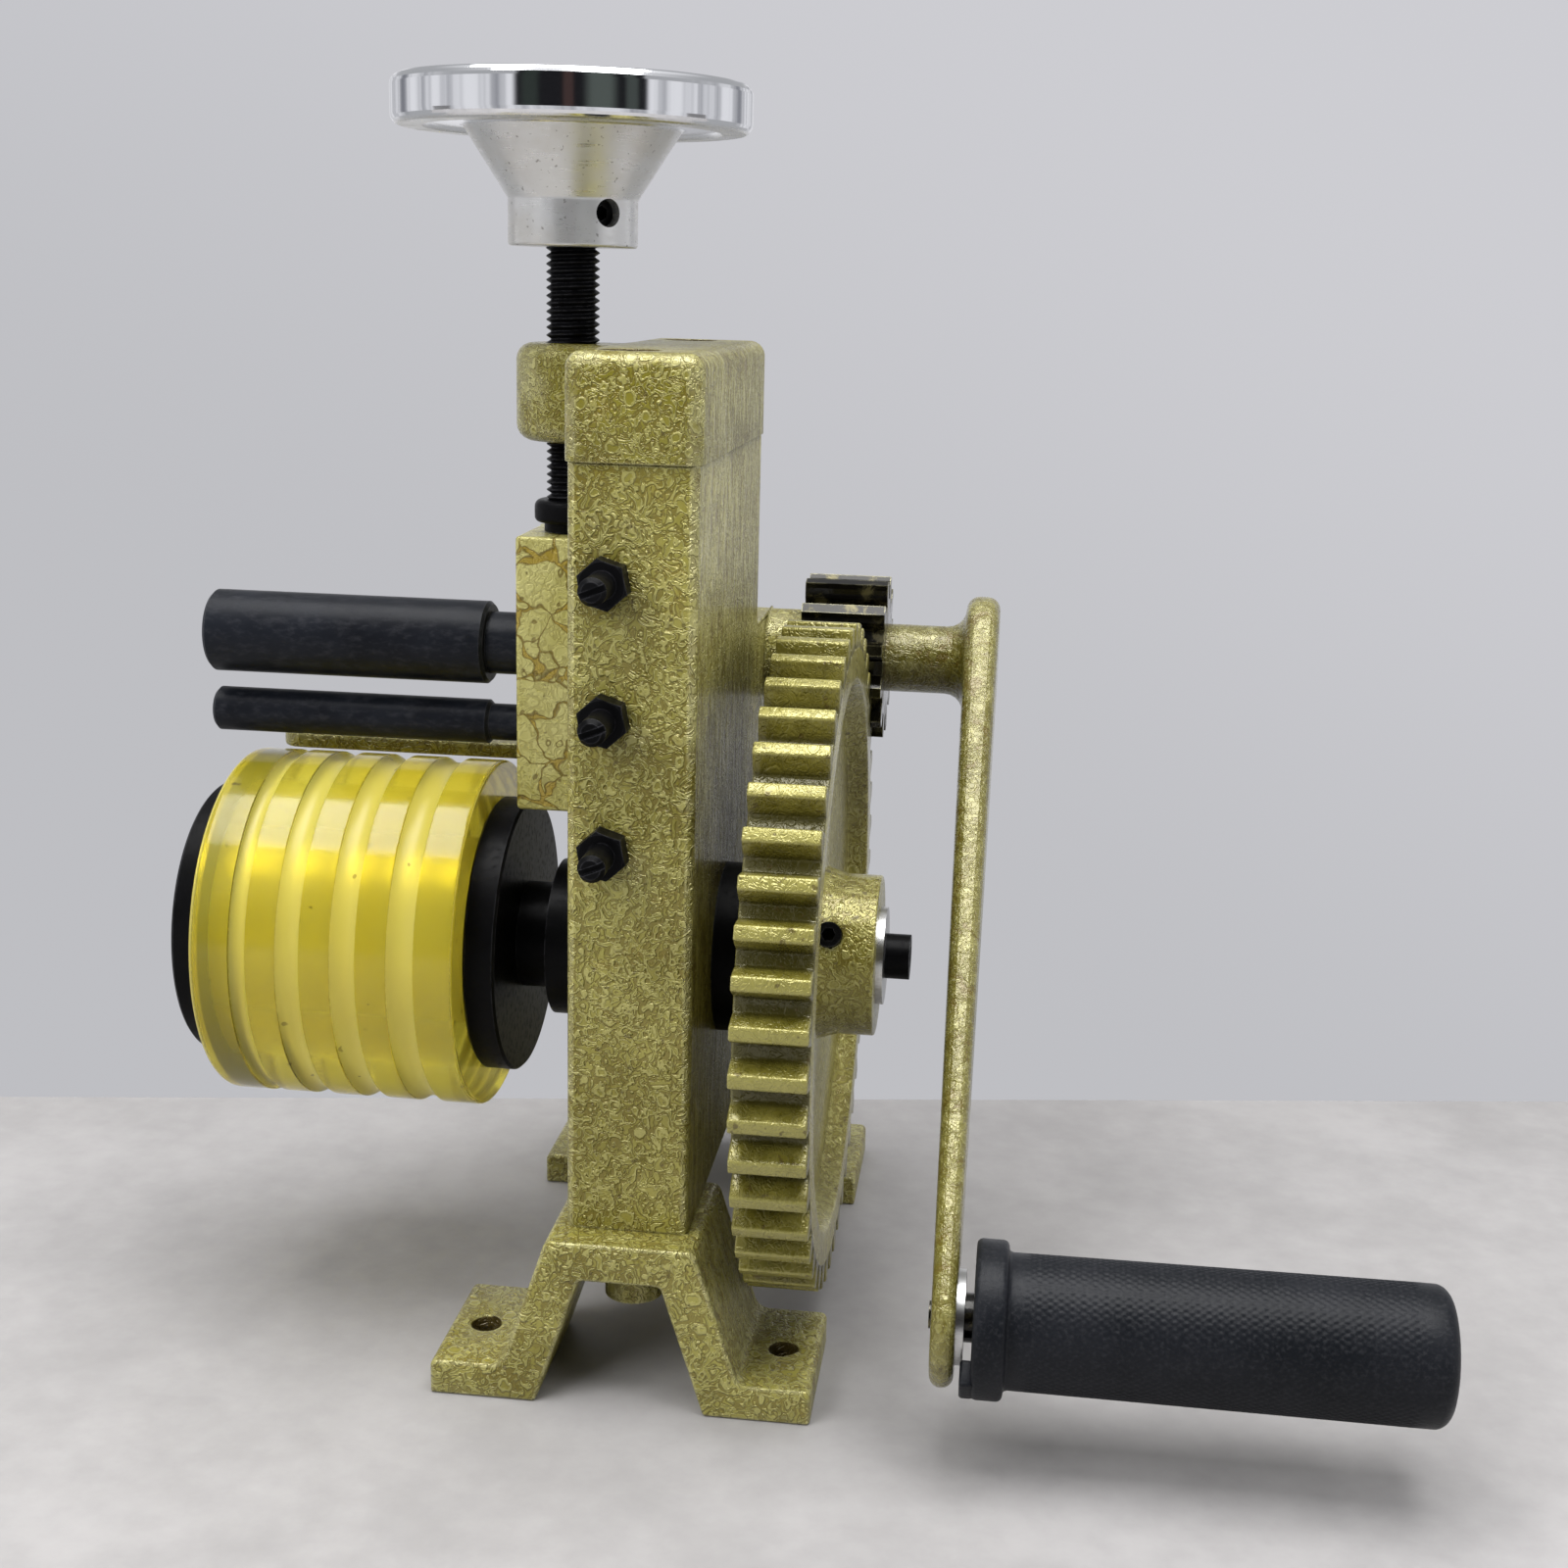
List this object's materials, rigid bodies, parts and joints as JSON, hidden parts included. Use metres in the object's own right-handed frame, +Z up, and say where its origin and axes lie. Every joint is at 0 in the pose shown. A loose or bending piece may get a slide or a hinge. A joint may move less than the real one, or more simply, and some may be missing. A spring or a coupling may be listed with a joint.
{
  "type": "bench bending machine",
  "caption": "Hand-cranked bench bender: a geared urethane roller drives metal strip round a mandrel whose height is set by a handwheel and lead screw.",
  "frame": {"origin": "middle of the four bench holes, on the bench", "axes": "+Z up, -Y the front, +X the crank side"},
  "size_m": [0.3981, 0.235, 0.3858],
  "materials": {
    "olive_paint": "glossy hammered enamel",
    "black_steel": "black oxide, oiled",
    "bright_steel": "machined",
    "chrome": "polished plate",
    "bronze": "machined",
    "urethane": "cast, slightly clear",
    "oily_steel": "dark, oiled",
    "rubber": "moulded, cross-hatched"
  },
  "bodies": {
    "frame": {"front_foot": "olive_paint", "rear_foot": "olive_paint", "foot_screws": "olive_paint", "foot_washers": "olive_paint", "column": "olive_paint", "top_cap": "olive_paint", "cap_screws": "black_steel", "gib_strip": "bronze", "gib_screws": "black_steel", "gib_nuts": "black_steel", "left_bush": "black_steel", "right_bush": "black_steel", "pinion_bush": "bronze", "strip_rest": "olive_paint", "strip_rest_screws": "black_steel"},
    "slide": {"slide_block": "olive_paint", "keeper_pins": "bright_steel"},
    "screw": {"lead_screw": "black_steel", "thrust_collar": "black_steel", "handwheel": "chrome", "wheel_set_screw": "black_steel"},
    "roller": {"roller_shaft": "black_steel", "roller_core": "bright_steel", "roller_tyre": "urethane", "inner_disc": "black_steel", "outer_disc": "black_steel", "roller_washer": "bright_steel", "roller_bolt": "black_steel", "drive_gear": "olive_paint", "gear_key": "bright_steel", "gear_set_screw": "black_steel", "gear_washer": "bright_steel", "gear_bolt": "black_steel"},
    "crank": {"pinion_shaft": "bright_steel", "pinion": "oily_steel", "pinion_key": "bright_steel", "shaft_collar_ring": "black_steel", "shaft_collar_screw": "black_steel", "crank_arm": "olive_paint", "crank_set_screw": "black_steel", "grip_pin": "oily_steel", "grip_washer": "bright_steel", "grip_clip": "bright_steel"},
    "grip": {"grip_sleeve": "rubber", "grip_tube": "bright_steel"},
    "upper_mandrel": {"large_mandrel": "black_steel", "large_mandrel_clip": "bright_steel"},
    "lower_mandrel": {"small_mandrel": "black_steel", "small_mandrel_clip": "bright_steel"}
  },
  "joints": [
    {"name": "screw_turn", "type": "hinge", "parent": "slide", "child": "screw", "pos_m": [-0.031, -0.0245, 0.3], "axis": [0, 0, 1], "range_deg": [-1040, 2720]},
    {"name": "slide_travel", "type": "slide", "parent": "frame", "child": "slide", "axis": [0, 0, 1], "range_m": [-0.0067, 0.0175]},
    {"name": "roller_turn", "type": "hinge", "parent": "frame", "child": "roller", "pos_m": [0, -0.0245, 0.123], "axis": [1, 0, 0], "continuous": true},
    {"name": "crank_turn", "type": "hinge", "parent": "frame", "child": "crank", "pos_m": [0, 0.0765, 0.20082], "axis": [1, 0, 0], "continuous": true},
    {"name": "grip_turn", "type": "hinge", "parent": "crank", "child": "grip", "pos_m": [0.15, -0.10779, 0.04397], "axis": [1, 0, 0], "continuous": true},
    {"name": "upper_mandrel_turn", "type": "hinge", "parent": "slide", "child": "upper_mandrel", "pos_m": [-0.1, -0.0245, 0.2181], "axis": [1, 0, 0], "continuous": true},
    {"name": "lower_mandrel_turn", "type": "hinge", "parent": "slide", "child": "lower_mandrel", "pos_m": [-0.1, -0.0245, 0.1927], "axis": [1, 0, 0], "continuous": true}
  ],
  "couplings": [
    {"joint": "slide_travel", "follows": "screw_turn", "m_per_rad": 0.0003675},
    {"joint": "crank_turn", "follows": "roller_turn", "ratio": -4}
  ]
}
